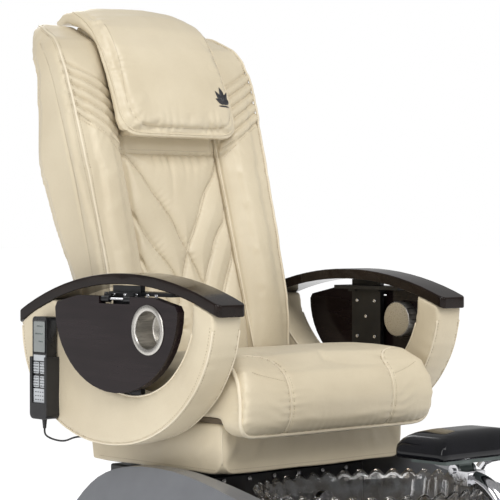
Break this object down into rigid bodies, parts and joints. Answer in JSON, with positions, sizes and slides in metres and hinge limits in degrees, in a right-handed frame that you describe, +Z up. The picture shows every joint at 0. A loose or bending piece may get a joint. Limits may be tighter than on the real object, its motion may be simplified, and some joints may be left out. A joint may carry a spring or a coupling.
{
  "type": "pedicure spa chair",
  "caption": "Reclining massage armchair in cream leather on a curved wet base with a glass foot bowl, tilting footrest, fold-out arm trays and a corded hand remote.",
  "frame": {"origin": "on the floor under the base pan, on the centre plane, below the seat", "axes": "+Z up; the sitter faces -Y; the sitter's right hand is at -X"},
  "size_m": [0.7716, 1.2769, 1.4161],
  "materials": {
    "cream_leather": "satin",
    "pillow_leather": "satin",
    "espresso_lacquer": "gloss",
    "plywood": "matte",
    "black_steel": "satin",
    "black_plastic": "matte",
    "foot_cushion": "gloss",
    "grey_shell": "satin",
    "chrome": "gloss",
    "cup_steel": "brushed",
    "bracket_metal": "matte",
    "bowl_glass": "gloss",
    "lcd": "gloss",
    "keypad": "satin",
    "seal_rubber": "matte"
  },
  "bodies": {
    "base": {"base_pan": "black_steel", "side_panel_right": "grey_shell", "side_panel_left": "grey_shell", "front_panel": "grey_shell", "rear_panel": "black_plastic", "bowl_deck": "black_plastic", "machine_box": "black_plastic", "slide_rail_right": "chrome", "slide_rail_left": "chrome", "glass_bowl": "bowl_glass", "bowl_gasket": "seal_rubber", "drain_flange": "chrome", "jet_cap": "chrome", "filler_spout": "chrome", "footrest_socket": "black_steel"},
    "stopper": {"drain_stopper": "chrome"},
    "valve": {"valve_lever": "chrome"},
    "foot_post": {"footrest_arm": "chrome", "tilt_pin": "chrome"},
    "clamp": {"clamp_knob": "black_plastic"},
    "foot_head": {"footrest_bracket": "bracket_metal", "footrest_pad": "foot_cushion"},
    "seat": {"seat_frame": "black_steel", "recline_rod": "chrome", "seat_skirt": "cream_leather", "seat_pan": "plywood", "seat_cushion": "cream_leather", "actuator_housing": "black_steel", "arm_panel_right": "cream_leather", "arm_panel_left": "cream_leather", "arm_cap_right": "espresso_lacquer", "arm_cap_left": "espresso_lacquer", "tray_post_right": "black_steel", "tray_post_left": "black_steel", "remote_holster": "black_plastic", "remote_cord": "seal_rubber", "cord_grommet": "seal_rubber"},
    "recline_screw": {"actuator_rod": "chrome"},
    "tray_right": {"tray_board_right": "espresso_lacquer", "tray_cup_right": "cup_steel", "tray_pin_right": "chrome"},
    "tray_left": {"tray_board_left": "espresso_lacquer", "tray_cup_left": "cup_steel", "tray_pin_left": "chrome"},
    "back": {"back_frame": "black_steel", "back_cover": "black_plastic", "back_bolster_right": "cream_leather", "back_bolster_left": "cream_leather", "back_center_pad": "cream_leather"},
    "carriage": {"massage_carriage": "black_plastic"},
    "kneader_left": {"massage_arm_left": "black_plastic"},
    "kneader_right": {"massage_arm_right": "black_plastic"},
    "pillow": {"head_pillow": "pillow_leather"},
    "remote": {"remote_case": "black_plastic", "remote_screen": "lcd", "strain_relief": "seal_rubber"},
    "recline_button": {"key_recline": "keypad"},
    "upright_button": {"key_upright": "keypad"},
    "forward_button": {"key_forward": "keypad"},
    "massage_button": {"key_massage": "keypad"}
  },
  "joints": [
    {"name": "stopper_lift", "type": "slide", "parent": "base", "child": "stopper", "axis": [0, 0, 1], "range_m": [0, 0.008]},
    {"name": "valve_turn", "type": "hinge", "parent": "base", "child": "valve", "pos_m": [0.228, -0.675, 0.34], "axis": [0, 0, 1], "range_deg": [-60, 60]},
    {"name": "post_lift", "type": "slide", "parent": "base", "child": "foot_post", "axis": [0, 0, 1], "range_m": [0, 0.05]},
    {"name": "clamp_turn", "type": "hinge", "parent": "base", "child": "clamp", "pos_m": [0, -0.78, 0.326], "axis": [0, -1, 0], "range_deg": [-180, 180]},
    {"name": "foot_tilt", "type": "hinge", "parent": "foot_post", "child": "foot_head", "pos_m": [0, -0.64, 0.47], "axis": [1, 0, 0], "range_deg": [-20, 15]},
    {"name": "seat_slide", "type": "slide", "parent": "base", "child": "seat", "axis": [0, -1, 0], "range_m": [0, 0.11]},
    {"name": "recline", "type": "hinge", "parent": "seat", "child": "back", "pos_m": [0, 0.15, 0.59], "axis": [-1, 0, 0], "range_deg": [0, 24]},
    {"name": "screw_travel", "type": "slide", "parent": "seat", "child": "recline_screw", "axis": [0, -1, 0], "range_m": [0, 0.03]},
    {"name": "tray_right_fold", "type": "hinge", "parent": "seat", "child": "tray_right", "pos_m": [-0.368, -0.046, 0.79], "axis": [0, 1, 0], "range_deg": [0, 90]},
    {"name": "tray_left_fold", "type": "hinge", "parent": "seat", "child": "tray_left", "pos_m": [0.368, -0.046, 0.79], "axis": [0, -1, 0], "range_deg": [0, 90]},
    {"name": "massage_travel", "type": "slide", "parent": "back", "child": "carriage", "axis": [0, 0.2756, 0.9613], "range_m": [-0.1, 0.1]},
    {"name": "knead_left", "type": "hinge", "parent": "carriage", "child": "kneader_left", "pos_m": [0.046, 0.27128, 1.01296], "axis": [0, 0.9613, -0.2756], "range_deg": [-10, 10]},
    {"name": "knead_right", "type": "hinge", "parent": "carriage", "child": "kneader_right", "pos_m": [-0.046, 0.27128, 1.01296], "axis": [0, 0.9613, -0.2756], "range_deg": [-10, 10]},
    {"name": "pillow_flip", "type": "hinge", "parent": "back", "child": "pillow", "pos_m": [0, 0.4156, 1.39289], "axis": [-1, 0, 0], "range_deg": [0, 100]},
    {"name": "remote_lift", "type": "slide", "parent": "seat", "child": "remote", "axis": [0, 0, 1], "range_m": [0, 0.09]},
    {"name": "press_recline", "type": "slide", "parent": "remote", "child": "recline_button", "axis": [1, 0, 0], "range_m": [0, 0.001], "stiffness_N_per_m": 500},
    {"name": "press_upright", "type": "slide", "parent": "remote", "child": "upright_button", "axis": [1, 0, 0], "range_m": [0, 0.001], "stiffness_N_per_m": 500},
    {"name": "press_forward", "type": "slide", "parent": "remote", "child": "forward_button", "axis": [1, 0, 0], "range_m": [0, 0.001], "stiffness_N_per_m": 500},
    {"name": "press_massage", "type": "slide", "parent": "remote", "child": "massage_button", "axis": [1, 0, 0], "range_m": [0, 0.001], "stiffness_N_per_m": 500}
  ],
  "couplings": [
    {"joint": "screw_travel", "follows": "recline", "m_per_rad": 0.06},
    {"joint": "knead_right", "follows": "knead_left", "ratio": -1}
  ]
}
